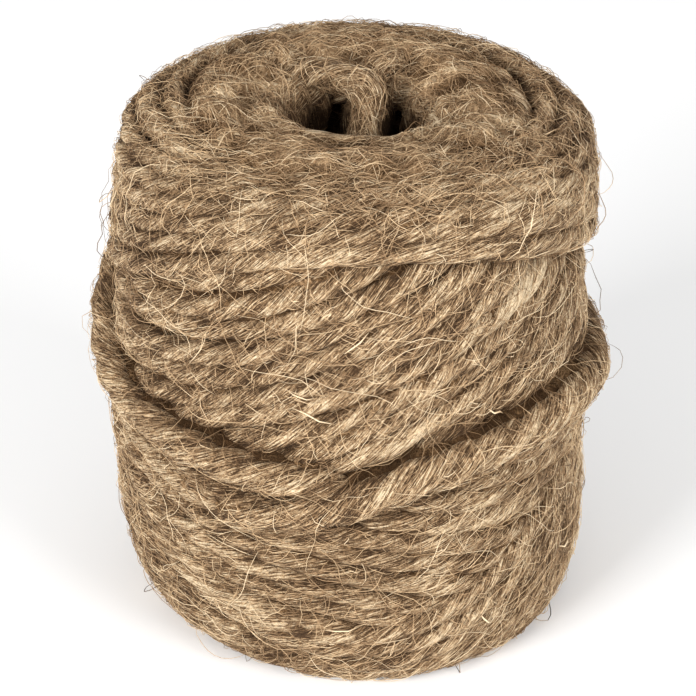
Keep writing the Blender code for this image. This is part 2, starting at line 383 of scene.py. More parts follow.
def lay(rng, az, t, wobble, radius=TIGHT_RADIUS, level=-TIGHT_RADIUS, under=None,
        sink=SINK, dive=END_DIVE):
    """Lays one strand on the pile and returns it: points, normals, distances and radii.

    wobble is how far its course strays. level is the height that its centre keeps where
    nothing lies under it, a number or a function of the place. under gives how deep it
    passes below its neighbours there. sink is the share of its radius by which it beds
    into what lies below it, and dive is how deep its ends go.
    """
    az, t, along = resample(az, t, RING_STEP)
    count = len(az)
    t = t + wobble * smooth_noise(rng, count, WOBBLE_LENGTH)
    radii = radius * (1.0 + RADIUS_CHANGE * smooth_noise(rng, count, RADIUS_LENGTH))
    r = np.maximum(SKIN.radius(t), LEAST_RADIUS)
    run_az, run_t = np.gradient(np.radians(az)) * r, np.gradient(t)
    size = np.hypot(run_az, run_t)
    side_az, side_t = -run_t / size, run_az / size
    support = np.max([
        PILE.read(az + np.degrees(side_az * (share * radii) / r), t + side_t * (share * radii))
        for share in SUPPORT_SHARES
    ], axis=0)
    floor = level(az, t) if callable(level) else np.full(count, float(level))
    centre = np.maximum(floor, support + (1.0 - sink) * radii)
    if under:
        depth = under(az, t)
        centre = blur(np.maximum(floor, centre - 2 * depth) - depth, STIFFNESS / RING_STEP)
    else:
        eased = blur(centre, STIFFNESS / RING_STEP)
        centre = blur(np.maximum(eased, centre - STIFF_SINK * radii), LAST_BLUR)
    ends = np.minimum(along, along[-1] - along)
    centre = centre - dive * np.clip(1 - ends / END_DIVE_LENGTH, 0, 1) ** 1.5
    fine = np.arange(0.0, along[-1], PRINT_STEP)
    thick, middle, reach, lean_az, lean_t, fine_az, fine_t = (
        np.interp(fine, along, column) for column in (radii, centre, r, side_az, side_t, az, t)
    )
    for share in PRINT_SHARES:
        offset = share * thick
        rise = middle + thick * math.sqrt(1 - share * share)
        PILE.raise_to(fine_az + np.degrees(lean_az * offset / reach), fine_t + lean_t * offset, rise)
    return {
        "points": SKIN.place(az, t, centre),
        "normals": SKIN.normal(az, t),
        "along": along,
        "radii": radii,
        "on_skin": (az, t, centre, np.degrees(side_az / r), side_t),
    }


def catmull(route, count):
    """Points at even steps of a smooth curve through a route's own points."""
    route = np.asarray(route, float)
    ends = np.concatenate([[2 * route[0] - route[1]], route, [2 * route[-1] - route[-2]]])
    place = np.linspace(0, len(route) - 1.0001, count)
    index = place.astype(int)
    u = (place - index)[:, None]
    a, b, c, d = (ends[index + k] for k in range(4))
    square = (2 * a - 5 * b + 4 * c - d) * u ** 2
    cube = (3 * b - a - 3 * c + d) * u ** 3
    return 0.5 * (2 * b + (c - a) * u + square + cube)


def free_strand(rng, route, radius):
    """A strand along a route of points in mm from the spool's axis."""
    rough = catmull(np.asarray(route, float) + (AXIS_X, 0.0, 0.0), ROUTE_SAMPLES)
    distance = np.concatenate([[0.0], np.cumsum(np.linalg.norm(np.diff(rough, axis=0), axis=1))])
    count = max(int(distance[-1] / FREE_RING_STEP) + 1, 5)
    even = np.linspace(0, distance[-1], count)
    return {
        "points": np.stack([np.interp(even, distance, rough[:, axis]) for axis in range(3)], 1),
        "normals": np.tile((0.0, 0.0, 1.0), (count, 1)),
        "along": even,
        "radii": radius * (1.0 + FREE_RADIUS_CHANGE * smooth_noise(rng, count, FREE_RADIUS_LENGTH)),
    }


def directions(strand):
    """A strand's normals, square to its course, and the directions across both."""
    tangent = unit(np.gradient(strand["points"], axis=0))
    normal = unit(strand["normals"] - tangent * (strand["normals"] * tangent).sum(1, keepdims=True))
    return normal, np.cross(tangent, normal)


def ply_outline(ply_centre):
    """Ring angles and radii of the plies' outline, with a groove between each two."""
    angles, radii = [], []
    ply_radius = 1.0 - ply_centre
    spacing = 360.0 / PLIES
    for ply in range(PLIES):
        for step in range(POINTS_PER_PLY):
            local = math.radians(spacing * (step / POINTS_PER_PLY - 0.5))
            angles.append(math.radians(spacing * ply) + local)
            reach = ply_radius ** 2 - (ply_centre * math.sin(local)) ** 2
            radii.append(ply_centre * math.cos(local) + math.sqrt(reach))
    return np.array(angles), np.array(radii)


def runs(kept):
    """First and last index of each unbroken run of kept rings."""
    edge = np.diff(np.concatenate([[0], kept.astype(int), [0]]))
    return np.nonzero(edge > 0)[0], np.nonzero(edge < 0)[0] - 1


def strand_arrays(rng, strand, lay_length, ply_centre, crests, mat):
    """Vertices, quads, end caps and per-vertex values of one strand of three plies.

    Stretches that lie wholly under the mat are left out.
    """
    along, radii = strand["along"], strand["radii"]
    ring_angles, ring_radii = ply_outline(ply_centre)
    count, sides = len(along), len(ring_angles)
    normal, across = directions(strand)
    turn = -2 * math.pi * along / lay_length + TWIST_CHANGE * smooth_noise(rng, count, TWIST_LENGTH)
    turn += rng.uniform(0, 2 * math.pi)
    angles = ring_angles[None, :] + turn[:, None]
    lines = np.stack([smooth_noise(rng, count, RELIEF_LENGTH) for _ in range(sides)], 1)
    outline = ring_radii[None, :] * radii[:, None] * (1.0 + RELIEF_CHANGE * lines)
    ends = np.minimum(along, along[-1] - along)
    outline *= np.clip(END_SHARE + ends / END_LENGTH, 0, 1)[:, None]
    ring = np.cos(angles)[..., None] * normal[:, None, :] + np.sin(angles)[..., None] * across[:, None, :]
    verts = strand["points"][:, None, :] + outline[..., None] * ring
    verts[..., 2] = np.maximum(verts[..., 2], 0.0)
    # groove is 0 on a ply's crest and 1 in the groove between plies; the shader paints shade by it
    groove = np.tile((1 - ring_radii) / (1 - ring_radii.min()), (count, 1))
    tone = STRAND_TONE + TONE_CHANGE * (smooth_noise(rng, count, TONE_LENGTH)[:, None] + lines)
    kept = np.ones(count, bool)
    if "on_skin" not in strand:
        # Free strands get an even painted shade in place of that of the gaps
        tone = tone - FREE_STRAND_PAINTED_SHADE
    else:
        az, t, centre, lean_az, lean_t = (column[:, None] for column in strand["on_skin"])
        aside, rise = outline * np.sin(angles), centre + outline * np.cos(angles)
        ring_az, ring_t = az - lean_az * aside, t - lean_t * aside
        own_flank = (TIGHT_RADIUS / radii[:, None]) ** 2
        # Painted shade of the gaps, pits and hole, with blotches, darkens the strand's tone
        tone = tone - PAINTED_SHADE_STRENGTH * own_flank * painted_shade_and_blotches(crests, ring_az, ring_t, rise)
        shown = (rise > mat.read(ring_az, ring_t) - MAT_COVER).any(1)
        kept = np.convolve(shown, (1, 1, 1), "same") > 0
    offset = rng.uniform(0, PATTERN_STARTS)
    fibre = np.stack(np.broadcast_arrays(
        TIGHT_RADIUS * np.cos(ring_angles),
        TIGHT_RADIUS * np.sin(ring_angles),
        (along * PATTERN_STRETCH + offset)[:, None],
    ), -1)
    number = np.cumsum(kept) - 1
    first, last = (number[ends_of_run] * sides for ends_of_run in runs(kept))
    joined = number[:-1][kept[:-1] & kept[1:]]
    i, j = np.meshgrid(joined, np.arange(sides), indexing="ij")
    after = (j + 1) % sides
    quads = np.stack([i * sides + j, i * sides + after, (i + 1) * sides + after, (i + 1) * sides + j], -1)
    caps = [start + np.arange(sides)[::-1] for start in first] + [end + np.arange(sides) for end in last]
    verts, fibre = (column[kept].reshape(-1, 3) for column in (verts, fibre))
    groove, tone = (column[kept].ravel() for column in (groove, tone))
    return verts, quads.reshape(-1, 4), caps, groove, tone, fibre


def add_object(name, data):
    made = bpy.data.objects.new(name, data)
    bpy.context.scene.collection.objects.link(made)
    return made


def mesh_object(name, verts, quads, caps, material, **columns):
    """One object from arrays in mm: quads, further faces, and columns of numbers or vectors by vertex."""
    data = bpy.data.meshes.new(name)
    sizes = np.concatenate([np.full(len(quads), 4), [len(cap) for cap in caps]]).astype(np.int32)
    loops = np.concatenate([quads.ravel()] + [np.asarray(cap) for cap in caps]).astype(np.int32)
    data.vertices.add(len(verts))
    data.vertices.foreach_set("co", (verts * MM).astype(np.float32).ravel())
    data.loops.add(len(loops))
    data.loops.foreach_set("vertex_index", loops)
    data.polygons.add(len(sizes))
    starts = np.concatenate([[0], np.cumsum(sizes)[:-1]]).astype(np.int32)
    data.polygons.foreach_set("loop_start", starts)
    data.polygons.foreach_set("use_smooth", np.ones(len(sizes), bool))
    data.update(calc_edges=True)
    for label, array in columns.items():
        kind, field = ("FLOAT", "value") if array.ndim == 1 else ("FLOAT_VECTOR", "vector")
        layer = data.attributes.new(label, kind, "POINT")
        layer.data.foreach_set(field, array.astype(np.float32).ravel())
    data.materials.append(material)
    piece = add_object(name, data)
    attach(piece, "root")
    return piece


def strand_piece(name, rng, strands, material, crests, mat, lay_length=LAY, ply_centre=TIGHT_PLY_CENTRE):
    """One object from several strands."""
    parts = [strand_arrays(rng, strand, lay_length, ply_centre, crests, mat) for strand in strands]
    base, quads, caps = 0, [], []
    for verts, faces, ends, *_ in parts:
        quads.append(faces + base)
        caps += [cap + base for cap in ends]
        base += len(verts)
    verts, groove, tone, fibre = (np.concatenate([part[k] for part in parts]) for k in (0, 3, 4, 5))
    piece = mesh_object(
        name, verts, np.concatenate(quads), caps, material, groove=groove, tone=tone, fibre=fibre,
    )
    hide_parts(SPOOL)


def turns(count, first=0.0):
    """Azimuths of a strand that goes round several times."""
    return first + np.linspace(0, 360.0 * count, int(count * POINTS_PER_TURN) + 1)


def helix(count, first, start, pitch):
    """Azimuths and lengths along the section of turns that climb by a pitch in each."""
    az = turns(count, first)
    return az, start + pitch * (az - az[0]) / 360.0


def between(stack, progress):
    """Lengths along the section at a progress in turns, from pairs of a turn number and lengths."""
    numbers = np.array([number for number, _ in stack])
    rows = np.stack([lengths for _, lengths in stack])
    index = np.clip(np.searchsorted(numbers, progress, "right") - 1, 0, len(numbers) - 2)
    part = (progress - numbers[index]) / (numbers[index + 1] - numbers[index])
    pick = np.arange(len(progress))
    return rows[index, pick] * (1 - part) + rows[index + 1, pick] * part


# The loose turn is two lengths of strand, of which the left one passes under the right one.
# azimuth, height as a share, clearance above the pile's usual level
LOOSE_LEFT = (
    (-232.0, 0.560, -3.4), (-205.0, 0.590, -1.0), (-170.0, 0.620, -0.4), (-130.0, 0.640, 0.2),
    (-112.0, 0.628, 0.8), (-98.0, 0.600, 1.3), (-88.0, 0.560, 1.2), (-78.0, 0.520, 0.9),
    (-68.0, 0.500, 0.8), (-54.0, 0.490, 0.6), (-36.0, 0.477, 0.2), (-22.0, 0.469, -0.3),
    (-10.0, 0.459, -1.2), (0.0, 0.452, -2.6),
)
LOOSE_RIGHT = (
    (-36.0, 0.366, -2.8), (-28.0, 0.378, -2.0), (-20.0, 0.390, -0.9), (-12.0, 0.403, -0.2),
    (-3.0, 0.422, 0.1), (4.0, 0.443, 0.2), (14.0, 0.467, 0.2), (25.0, 0.484, 0.1),
    (36.0, 0.496, 0.1), (50.0, 0.505, 0.1), (64.0, 0.508, 0.0), (78.0, 0.503, -0.4),
    (92.0, 0.500, -0.8), (106.0, 0.506, -0.9), (130.0, 0.535, -1.4), (160.0, 0.570, -3.4),
)
# The azimuth at the front where the right length takes over from the left one, and the azimuths
# at the back past which an end of each lies under other turns
LOOSE_JOIN = -9.0
LOOSE_ENDS = (-180.0, 140.0)
# A short strand that shows as a knob below the loose turn, in the same columns
KNOB = (
    (-44.0, 0.385, -2.4), (-40.0, 0.392, -0.9), (-36.5, 0.392, -0.3), (-33.0, 0.386, -0.9),
    (-30.0, 0.376, -2.6),
)
# The strand across the mouth, from the back left to the front wall: x, y, z
ARCH_ROUTE = (
    (-16.0, 13.0, 83.5), (-12.0, 12.6, 87.2), (-6.4, 11.4, 89.4), (-1.6, 8.8, 90.0),
    (1.6, 5.4, 89.2), (2.0, 1.8, 86.6), (1.2, -1.8, 82.2), (0.6, -5.6, 76.4),
    (0.4, -10.0, 70.0), (0.4, -13.6, 66.0),
)
# The short fold behind the mouth
FOLD_ROUTE = (
    (8.0, 19.5, 86.0), (6.4, 17.0, 88.6), (4.2, 14.2, 89.6), (2.2, 11.8, 88.6),
    (1.2, 10.6, 85.0),
)


def loose_line(az):
    """Length along the section of the loose turn's middle, all the way round."""
    right = [row for row in LOOSE_RIGHT if LOOSE_JOIN < row[0] < LOOSE_ENDS[1]]
    left = [(row[0] + 360.0, *row[1:]) for row in LOOSE_LEFT if LOOSE_ENDS[0] < row[0] < LOOSE_JOIN]
    rows = np.array(right + left)
    place = np.mod(np.asarray(az) - LOOSE_JOIN, 360.0) + LOOSE_JOIN
    return SKIN.at_height(np.interp(place, rows[:, 0], rows[:, 1]) * HEIGHT)


# The waist's turns: rise to the right and to the back, depth, how much that changes round the
# spool, and the azimuth where they stand out most
WAIST_SLANT, WAIST_TIP = 15.0, 4.0
WAIST_DEPTH, WAIST_SWING, WAIST_OUTMOST = 1.0, 1.05, -75.0
# The turns below: fall to the right, sink there, and share of the usual depth under the foot's
LOWER_SLANT, LOWER_SINK, UNDER_FOOT_SHARE = 10.0, 1.4, 0.75
# The foot's turns: how proud they stand, and their swell and sink to the sides
FOOT_PROUD, FOOT_SWELL, FOOT_SINK = 0.3, 0.9, 1.3
# The band: turns in all, turns of the level part and their pitch, gaps to the band's edge and to
# the mouth, and the swell of its left side
BAND_TURNS, BAND_LEVEL_TURNS, BAND_PITCH = 9.3, 3.0, 3.7
BAND_EDGE_GAP, BAND_MOUTH_GAP, BAND_SWELL = 1.8, 5.0, 1.2
# The centre's height in turns that are bedded deeper than usual
BEDDED = -TIGHT_RADIUS - 0.6
# The rosette's loops: distance outside the mouth, reach, loops in a turn, and phase
ROSETTE_OUT, ROSETTE_REACH, ROSETTE_LOOPS, ROSETTE_PHASE = 2.5, 4.5, 0.82, 40.0
# The ring on the lip: the centre's height, and how much higher it is heaped at the front
RING_LEVEL, RING_HEAP = -2.6, 2.7
# The strands down the hole's wall: how many, the centre's height, scatter of their azimuths,
# start outside the mouth, length past it, and lean in degrees
WALL_STRANDS, WALL_LEVEL, WALL_SCATTER = 15, -2.2, 4.0
WALL_START, WALL_REACH, WALL_LEAN = (1.0, 5.0), 40.0, (38.0, 60.0)
LOWER_WALL_TURNS, LOWER_WALL_START = 10.5, -16.0


def under_layer(rng):
    """Turns of the waist, which rise to the right across the front, under the sets above and below."""
    az, t = helix(count=16.2, first=-170.0, start=30.0, pitch=4.05)
    angle = np.radians(az)
    t = t + WAIST_SLANT * np.sin(angle) + WAIST_TIP * (1 - np.cos(angle))

    def level(place, _):
        swing = WAIST_SWING * np.cos(np.radians(place - WAIST_OUTMOST))
        return -TIGHT_RADIUS - WAIST_DEPTH + swing

    def under(place, along):
        above = step_up(along - curve(BAND_EDGE, place), early=1.0, width=6.0)
        below = step_up(loose_line(place) - along, early=4.2, width=3.0)
        return DIVE_DEPTH * np.maximum(above, below)

    return lay(rng, az, t, level=level, under=under, wobble=0.5)


def base_set(rng):
    """Turns of the base, from its inner edge out to the rounded rim."""
    az, t = helix(count=5.6, first=170.0, start=-15.5, pitch=3.75)
    return lay(rng, az, t, level=BEDDED, wobble=0.3)


def lower_set(rng):
    """Turns below the waist, which fall to the right across the front."""
    az, t = helix(count=14.3, first=170.0, start=6.0, pitch=3.8)
    t = t - LOWER_SLANT * np.sin(np.radians(az))

    def level(place, along):
        sink = LOWER_SINK * hump(along, centre=32.0, width=12.0)
        return -TIGHT_RADIUS - sink * np.sin(np.radians(place))

    def under(place, along):
        above = step_up(along - loose_line(place), early=5.2, width=3.4)
        below = step_up(curve(FOOT_EDGE, place) - along, early=-1.0, width=5.0)
        return DIVE_DEPTH * np.maximum(above, UNDER_FOOT_SHARE * below)

    return lay(rng, az, t, level=level, under=under, sink=1.0, wobble=0.4)


def foot_set(rng):
    """Later turns that dip under the base at the front and climb steeply on both sides."""
    az, drop = helix(count=8.4, first=182.0, start=-1.0, pitch=-3.9)

    def level(place, along):
        side = np.sin(np.radians(place))
        low = hump(along, centre=0.0, width=14.0)
        right, left = FOOT_SWELL * low - FOOT_SINK * (1 - low), -FOOT_SWELL * (1 - low)
        return -TIGHT_RADIUS + FOOT_PROUD + np.where(side > 0, right, left) * side

    return lay(rng, az, curve(FOOT_EDGE, az) + drop, level=level, sink=1.6, wobble=0.4)


def top_band(rng):
    """Level turns of the top, out over the shoulder."""
    az = turns(BAND_TURNS, first=150.0)
    lowest = curve(BAND_EDGE, az) + BAND_EDGE_GAP
    t = between((
        (0.0, lowest),
        (BAND_LEVEL_TURNS, lowest + BAND_LEVEL_TURNS * BAND_PITCH),
        (BAND_TURNS, np.full(az.shape, SKIN.top_inner - BAND_MOUTH_GAP)),
    ), (az - az[0]) / 360.0)

    def level(place, along):
        left = np.clip(-np.sin(np.radians(place)), 0, 1)
        swell = hump(along, centre=70.0, width=6.0) - hump(along, centre=86.0, width=6.0)
        return -BAND_RADIUS + BAND_SWELL * left * swell

    return lay(rng, az, t, radius=BAND_RADIUS, level=level, sink=1.9, wobble=0.3)


def mouth_rosette(rng):
    """Loops that lie to one side of the hole and then the next, all round its mouth."""
    az = turns(9.2, first=-60.0)
    reach = ROSETTE_REACH * np.cos(np.radians(az * ROSETTE_LOOPS + ROSETTE_PHASE))
    return lay(rng, az, SKIN.top_inner - ROSETTE_OUT + reach, level=BEDDED, sink=1.4, wobble=0.5)


def mouth_ring(rng):
    """Turns over the lip of the hole, heaped up at the front."""
    az, t = helix(count=2.6, first=100.0, start=SKIN.top_inner + 1.5, pitch=1.9)

    def level(place, _):
        return RING_LEVEL + RING_HEAP * hump(wrapped(place), centre=0.0, width=55.0)

    return lay(rng, az, t, radius=MOUTH_RING_RADIUS, level=level, sink=1.9, wobble=0.5)


def wall_strands(rng):
    """Strands that turn down over the mouth and run steeply down the hole's wall, and its lower turns."""
    out = []
    for number in range(WALL_STRANDS):
        start = number * 360.0 / WALL_STRANDS + rng.uniform(-WALL_SCATTER, WALL_SCATTER)
        t = np.linspace(SKIN.top_inner - rng.uniform(*WALL_START), SKIN.top_inner + WALL_REACH, 80)
        az = start + rng.uniform(*WALL_LEAN) * (t - t[0]) / (t[-1] - t[0])
        out.append(lay(rng, az, t, radius=WALL_RADIUS, level=WALL_LEVEL, sink=0.9, wobble=0.3))
    az = turns(LOWER_WALL_TURNS)
    t = np.linspace(LOWER_WALL_START, SKIN.low + 1.0, len(az))
    out.append(lay(rng, az, t, radius=WALL_RADIUS, level=WALL_LEVEL, wobble=0.2))
    return out


def loose_strand(rng, table, radius=LOOSE_RADIUS):
    """A strand laid on the pile along a table's course, at the table's clearances."""
    rows = catmull(np.array(table) * (1.0, HEIGHT, 1.0), LOOSE_SAMPLES)

    def level(az, _):
        return np.interp(az, rows[:, 0], rows[:, 2])

    t = SKIN.at_height(rows[:, 1])
    return lay(rng, rows[:, 0], t, radius=radius, level=level, sink=1.9, wobble=0.15, dive=0.0)


def lay_strands(rng):
    """All strands in winding order, by piece."""
    under = under_layer(rng)
    lower = [base_set(rng), lower_set(rng), foot_set(rng)]
    top = [top_band(rng), mouth_rosette(rng)] + wall_strands(rng) + [mouth_ring(rng)]
    loose = [loose_strand(rng, LOOSE_LEFT), loose_strand(rng, LOOSE_RIGHT)]
    lower.append(loose_strand(rng, KNOB, radius=TIGHT_RADIUS))
    top.append(free_strand(rng, FOLD_ROUTE, TIGHT_RADIUS))
    loose.append(free_strand(rng, ARCH_ROUTE, ARCH_STRAND_RADIUS))
    return {"under_layer_turns": [under], "lower_turns": lower, "top_turns": top, "loose_turn": loose}


# Kinds of loose fibre: name, count, segments, length range, bend, lift range, thickness, mean tone
FIBRE_KINDS = (
    ("fibres_long", 1000, 9, (9.0, 24.0), 0.05, (0.1, 1.0), 0.044, 0.84),
    ("fibres_curled", 4600, 6, (4.0, 10.0), 0.10, (0.05, 0.8), 0.042, 0.76),
    ("fibres_short", 9000, 3, (1.5, 4.5), 0.12, (0.0, 0.35), 0.048, 0.64),
    ("fibres_stray", 110, 8, (8.0, 18.0), 0.05, (1.5, 3.4), 0.062, 0.50),
    ("fibres_flat", 26, 3, (4.0, 9.0), 0.02, (0.3, 0.8), 0.150, 0.92),
)
TOP_FIBRES = ("fibres_top", 4300, 5, (3.0, 12.0), 0.09, (0.1, 1.2), 0.046, 0.60)
# Where they lie: from a length along the section to one past the mouth
EVERYWHERE, ON_TOP = (-10.0, 12.0), (93.0, 9.0)
# Shapes of the random spread of lengths and lifts, with more short and low ones
LENGTH_SHAPE, LIFT_SHAPE = (1.3, 2.2), (1.2, 3.0)
THICKNESS_RANGE = (0.75, 1.25)
# Mean heading and its spread in radians, waves in a fibre, and how far they turn it
HEADING, WAVES, WAVE_TURN = (0.25, 0.75), (0.6, 1.8), 0.24
# Depth of the ends, height over the mat, and blur and reach of what the fibres lie on
END_SUNK, OVER_MAT = 0.55, 0.15
ENVELOPE_BLUR, ENVELOPE_REACH = 0.4, 0.3
# Smallest radius used to turn lengths into azimuths, and the skin left free at its ends
FIBRE_LEAST_RADIUS, SKIN_ENDS = 8.0, 2.0
# Thickness at the ends as a share, how fast it grows, and the gap above the floor
FIBRE_END_SHARE, FIBRE_END_GROWTH, FIBRE_FLOOR_GAP = 0.35, 3.0, 0.02
# Tones: spread, share of dark ones, the mean above which that share shrinks, dark range
TONE_SPREAD, DARK_FIBRE_SHARE, BLOND_MEAN, DARK_TONES = 0.18, 0.10, 0.76, (0.05, 0.4)
# Fibres on the free strands of the mouth: count on each, segments, lengths, lift and its shape,
# heading and its spread, bend, thickness, mean tone
MOUTH_FIBRES, MOUTH_SEGMENTS, MOUTH_LENGTHS = 450, 5, (2.0, 9.0)
MOUTH_LIFT, MOUTH_LIFT_SHAPE = 1.1, (1.2, 2.5)
MOUTH_HEADING, MOUTH_BEND = (0.5, 0.6), 0.15
MOUTH_THICKNESS, MOUTH_TONE = 0.050, 0.62
# How far in they lie, in radii, the radius used to turn lengths into angles, and the share of
# the lift at their last ends
MOUTH_INSET, MOUTH_TURN_RADIUS, MOUTH_END_LIFT = 0.93, 2.5, 0.6


def fibre_paths(rng, count, segments, length, bend, lift, spots, envelope, crests):
    """Paths of loose fibres that lie on the pile: points in mm, outward normals, and painted shade with
    blotches.
    """
    az, t = spots(rng, count)
    heading = rng.normal(*HEADING, count) + math.pi * rng.integers(0, 2, count)
    step = length(rng, count) / segments
    curl = rng.normal(0, bend, count)
    phase, waves = rng.uniform(0, 2 * math.pi, count), rng.uniform(*WAVES, count)
    rise = lift(rng, count)
    points, normals, shades_and_blotches = [], [], []
    for k in range(segments + 1):
        share = k / segments
        arch = rise * (4 * share * (1 - share)) ** 0.7
        height = envelope.read(az, t) + arch - END_SUNK * abs(2 * share - 1) ** 3
        points.append(SKIN.place(az, t, height))
        normals.append(SKIN.normal(az, t))
        shades_and_blotches.append(painted_shade_and_blotches(crests, az, t, height))
        r = np.maximum(SKIN.radius(t), FIBRE_LEAST_RADIUS)
        now = heading + curl * step * k + WAVE_TURN * np.sin(phase + waves * 2 * math.pi * share)
        az = az + np.degrees(step * np.cos(now) / r)
        t = np.clip(t + step * np.sin(now), SKIN.low + SKIN_ENDS, SKIN.high - SKIN_ENDS)
    return np.stack(points, 1), np.stack(normals, 1), np.stack(shades_and_blotches, 1)


def fibres_on_strand(rng, strand):
    """Paths of loose fibres that lie on a free strand and stand off it at their ends."""
    points, radii = strand["points"], strand["radii"]
    normal, across = directions(strand)
    count = MOUTH_FIBRES
    start = rng.uniform(0, len(points) - 1, count)
    angle = rng.uniform(0, 2 * math.pi, count)
    length = rng.uniform(*MOUTH_LENGTHS, count)
    heading = rng.normal(*MOUTH_HEADING, count) + math.pi * rng.integers(0, 2, count)
    rise = MOUTH_LIFT * rng.beta(*MOUTH_LIFT_SHAPE, count)
    bend = rng.normal(0, MOUTH_BEND, count)
    rows, normals = [], []
    for k in range(MOUTH_SEGMENTS + 1):
        share = k / MOUTH_SEGMENTS
        now = heading + bend * length * share
        along = start + share * length * np.cos(now) / FREE_RING_STEP
        along = np.clip(along, 0, len(points) - 1.001)
        turn = angle + share * length * np.sin(now) / MOUTH_TURN_RADIUS
        index = along.astype(int)
        part = (along - index)[:, None]
        middle = points[index] * (1 - part) + points[index + 1] * part
        out = np.cos(turn)[:, None] * normal[index] + np.sin(turn)[:, None] * across[index]
        off = rise * (4 * share * (1 - share) + MOUTH_END_LIFT * share ** 3)
        rows.append(middle + out * (radii[index] * MOUTH_INSET + off)[:, None])
        normals.append(out)
    return np.stack(rows, 1), np.stack(normals, 1)


def fibre_piece(name, points, normals, radius, tone, material):
    """One object from many fibres, each a three-sided closed tube that thins to its ends."""
    count, rows = points.shape[:2]
    tangent = unit(np.gradient(points, axis=1))
    side = unit(np.cross(tangent, normals))
    other = np.cross(tangent, side)
    share = np.linspace(0, 1, rows)
    thin = np.clip(FIBRE_END_SHARE + FIBRE_END_GROWTH * np.minimum(share, 1 - share), 0, 1)
    size = radius[:, None] * thin[None, :]
    rings = []
    for corner in range(3):
        angle = 2 * math.pi * corner / 3
        rings.append(points + size[..., None] * (math.cos(angle) * side + math.sin(angle) * other))
    verts = np.stack(rings, 2)
    verts[..., 2] = np.maximum(verts[..., 2], FIBRE_FLOOR_GAP)
    fibre, row, corner = np.meshgrid(np.arange(count), np.arange(rows - 1), np.arange(3), indexing="ij")
    base = (fibre * rows + row) * 3
    after = (corner + 1) % 3
    quads = np.stack([base + corner, base + after, base + 3 + after, base + 3 + corner], -1).reshape(-1, 4)
    first = np.arange(count) * rows * 3
    last = first + (rows - 1) * 3
    caps = list(np.stack([first + 2, first + 1, first], 1)) + list(np.stack([last, last + 1, last + 2], 1))
    tones = np.repeat(np.broadcast_to(tone, (count, rows)).ravel(), 3)
    mesh_object(name, verts.reshape(-1, 3), quads, caps, material, tone=tones)


def over_the_skin(start, past_mouth):
    """Even spots by area, from a length along the section to one past the mouth."""
    inside = (SKIN.t >= start) & (SKIN.t <= SKIN.top_inner + past_mouth)
    lengths, weights = SKIN.t[inside], SKIN.r[inside]
    total = np.cumsum(weights)

    def spots(rng, count):
        return rng.uniform(0, 360, count), np.interp(rng.uniform(0, total[-1], count), total, lengths)

    return spots


def within(limits, shape):
    """A draw between two limits, with the shape of a beta spread."""
    def draw(rng, count):
        return limits[0] + (limits[1] - limits[0]) * rng.beta(*shape, count)

    return draw


def fibre_tones(rng, mean, count):
    """Mostly blond fibres, with some dark ones among them, more where they are darker on the whole."""
    tones = rng.normal(mean, TONE_SPREAD, count)
    dark = rng.uniform(size=count) < DARK_FIBRE_SHARE + (BLOND_MEAN - mean)
    return np.where(dark, rng.uniform(*DARK_TONES, count), tones)


def make_fibres(free_strands, crests, mat):
    """All loose fibres, one object for each kind and one for those on the free strands."""
    material = fibre_material()
    envelope = PILE.softened(ENVELOPE_BLUR, ENVELOPE_REACH)
    envelope.cells = np.maximum(envelope.cells, mat.cells + OVER_MAT)
    everywhere, on_top = over_the_skin(*EVERYWHERE), over_the_skin(*ON_TOP)
    kinds = [(everywhere, kind) for kind in FIBRE_KINDS] + [(on_top, TOP_FIBRES)]
    for number, (spots, (name, count, segments, sizes, bend, lifts, thickness, tone)) in enumerate(kinds):
        rng = np.random.default_rng(SEED + 10 + number)
        length, lift = within(sizes, LENGTH_SHAPE), within(lifts, LIFT_SHAPE)
        points, normals, shades_and_blotches = fibre_paths(
            rng, count, segments, length, bend, lift, spots, envelope, crests,
        )
        radius = thickness * rng.uniform(*THICKNESS_RANGE, count)
        # The fibres' tones take the painted shade of the gaps, pits and hole, with blotches
        tones = np.clip(fibre_tones(rng, tone, count)[:, None] - PAINTED_SHADE_STRENGTH * shades_and_blotches, 0, 1)
        fibre_piece(name, points, normals, radius, tones, material)
    rng = np.random.default_rng(SEED + 20)
    parts = [fibres_on_strand(rng, strand) for strand in free_strands]
    points, normals = (np.concatenate([part[k] for part in parts]) for k in (0, 1))
    tones = np.clip(fibre_tones(rng, MOUTH_TONE, len(points))[:, None], 0, 1)
    radius = MOUTH_THICKNESS * rng.uniform(*THICKNESS_RANGE, len(points))
    fibre_piece("fibres_mouth", points, normals, radius, tones, material)


